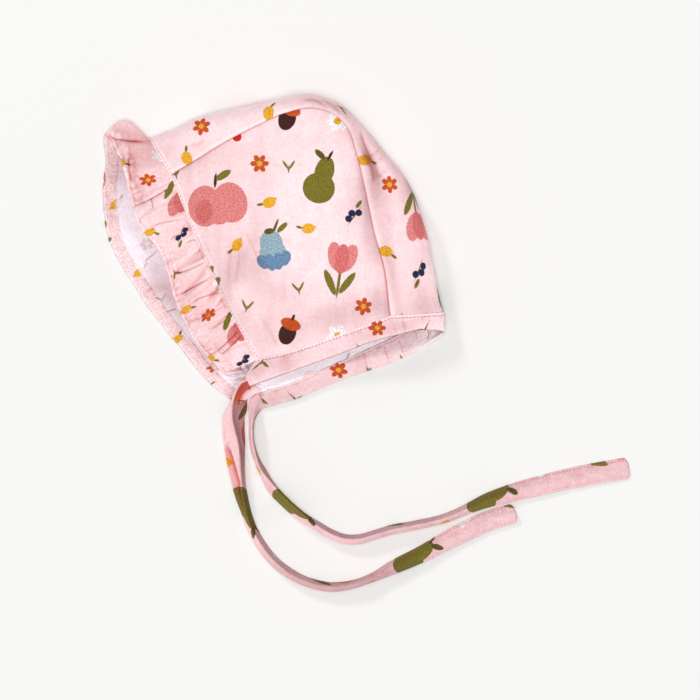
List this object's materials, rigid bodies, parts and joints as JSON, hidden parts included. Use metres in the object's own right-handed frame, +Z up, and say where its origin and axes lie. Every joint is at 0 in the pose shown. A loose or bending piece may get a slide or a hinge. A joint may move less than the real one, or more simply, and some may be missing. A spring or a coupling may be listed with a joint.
{
  "type": "baby bonnet",
  "caption": "Soft cotton bonnet for a baby, lying on its side: a three-piece cap with a gathered ruffle round the face, a turned neck band and long cloth ties.",
  "frame": {"origin": "on the flat underside of the lower side panel, in the plane of the surface that the bonnet lies on, below the middle of the cap", "axes": "+X towards the back of the head, +Y towards the crown, +Z up from the surface; the wearer's left side faces up"},
  "size_m": [0.3259, 0.3077, 0.0322],
  "materials": {
    "printed_gauze": "matt crinkled cotton double gauze, pale pink with a small multicoloured print, white on the wrong side",
    "ruffle_gauze": "the same gauze in a gathered strip, pale pink outside and white on the wrong side",
    "tie_gauze": "the same gauze folded into a narrow stitched tie"
  },
  "bodies": {
    "root": {"side_panel_left": "printed_gauze", "side_panel_right": "printed_gauze", "crown_band": "printed_gauze", "brim_ruffle": "ruffle_gauze", "neck_band": "printed_gauze", "tie_left": "tie_gauze", "tie_right": "tie_gauze"}
  },
  "joints": []
}
